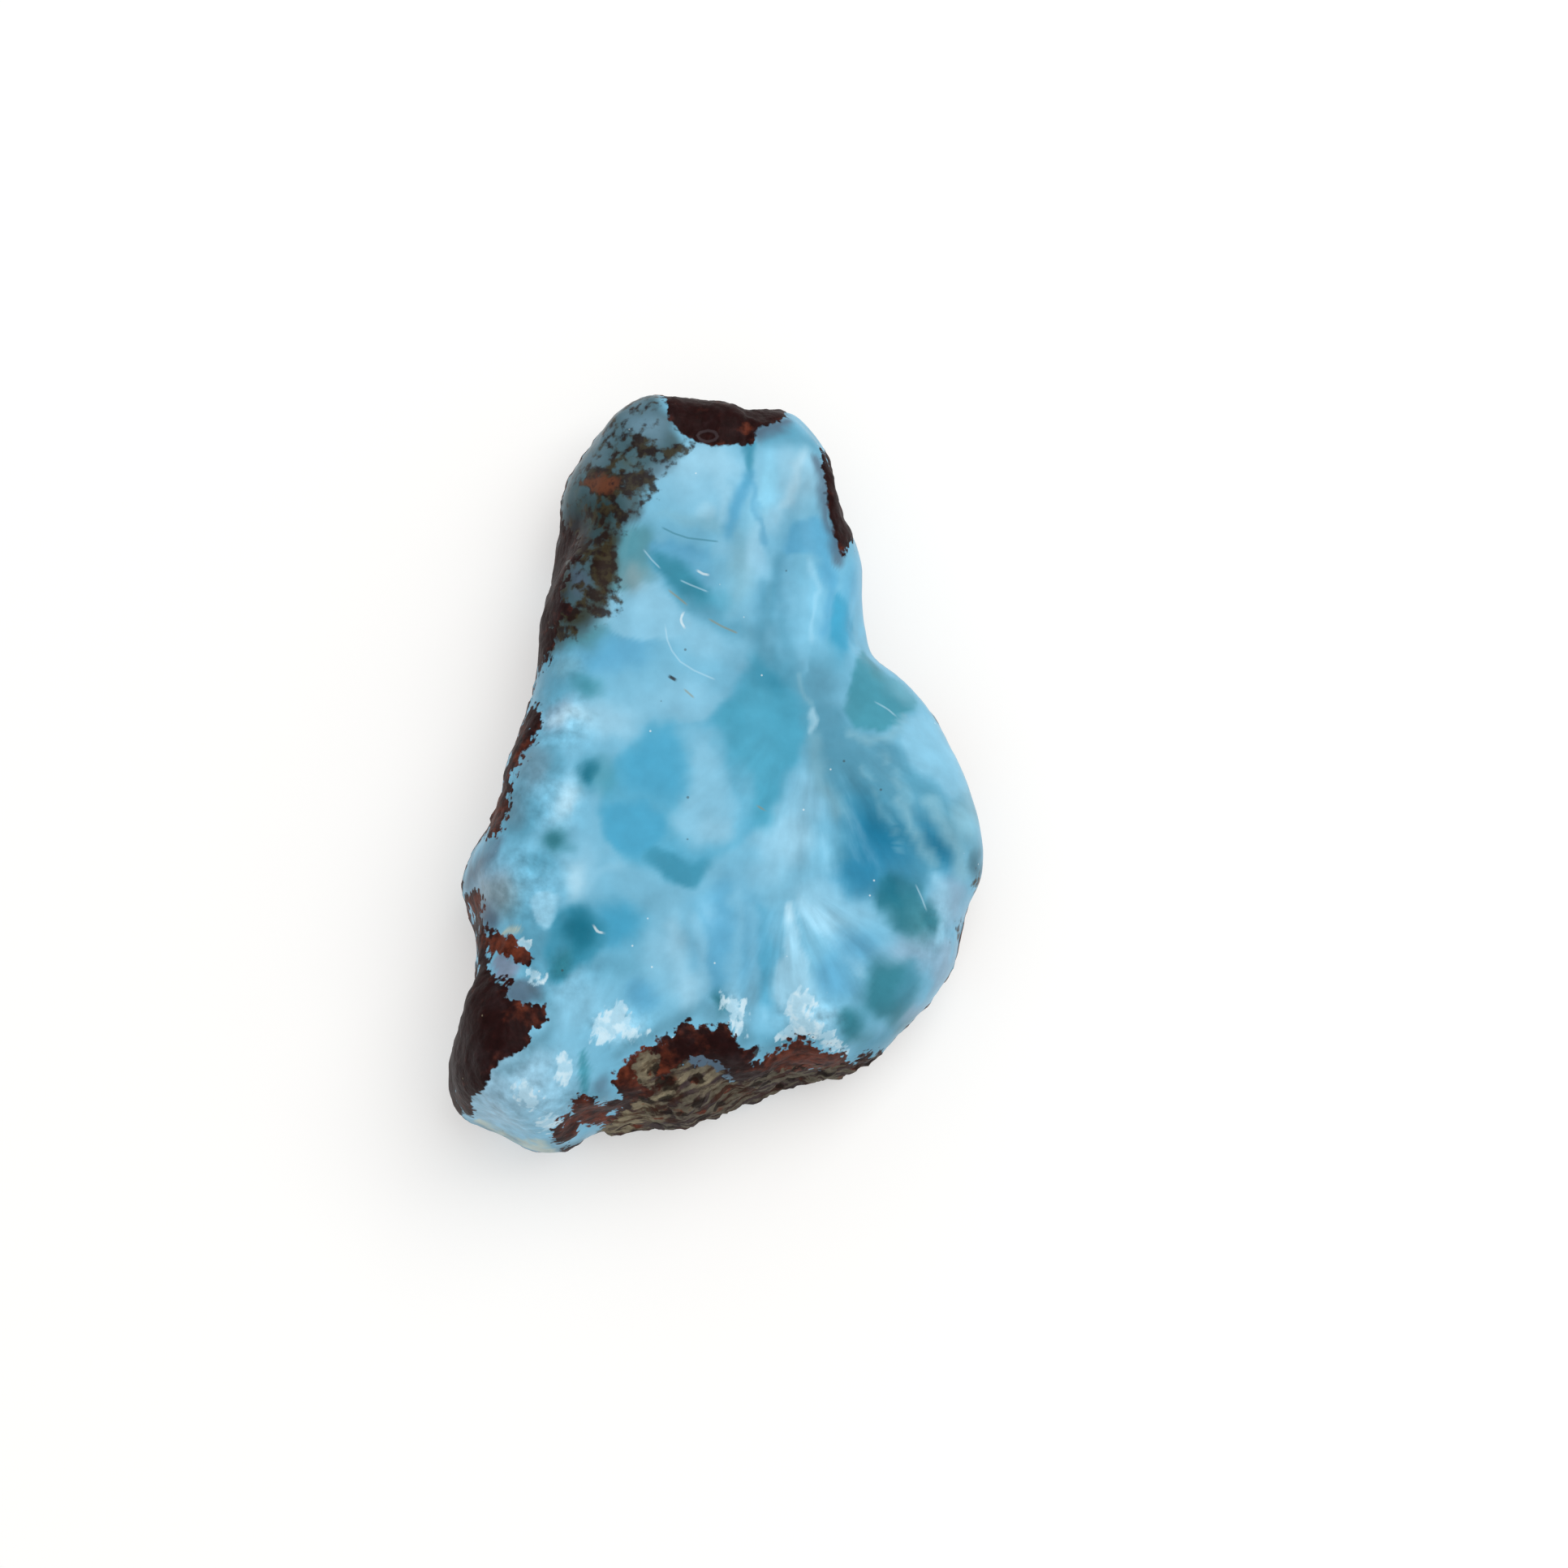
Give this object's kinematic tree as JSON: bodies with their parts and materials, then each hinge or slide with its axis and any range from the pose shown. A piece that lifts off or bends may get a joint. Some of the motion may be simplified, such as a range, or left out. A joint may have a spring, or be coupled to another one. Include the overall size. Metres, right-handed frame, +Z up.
{
  "type": "raw larimar stone",
  "caption": "Raw larimar, a tumbled lump of sea-blue pectolite with a hollowed glossy face, rough brown crust and host rock along its edges, lying on a flat underside.",
  "frame": {"origin": "on the flat underside, below the middle of the bounding box", "axes": "+Z up through the blue face, +Y along the stone towards its narrow end, +X across it to the bulging side"},
  "size_m": [0.0422, 0.06, 0.0175],
  "materials": {
    "larimar": "gloss"
  },
  "bodies": {
    "root": {"larimar": "larimar"}
  },
  "joints": []
}
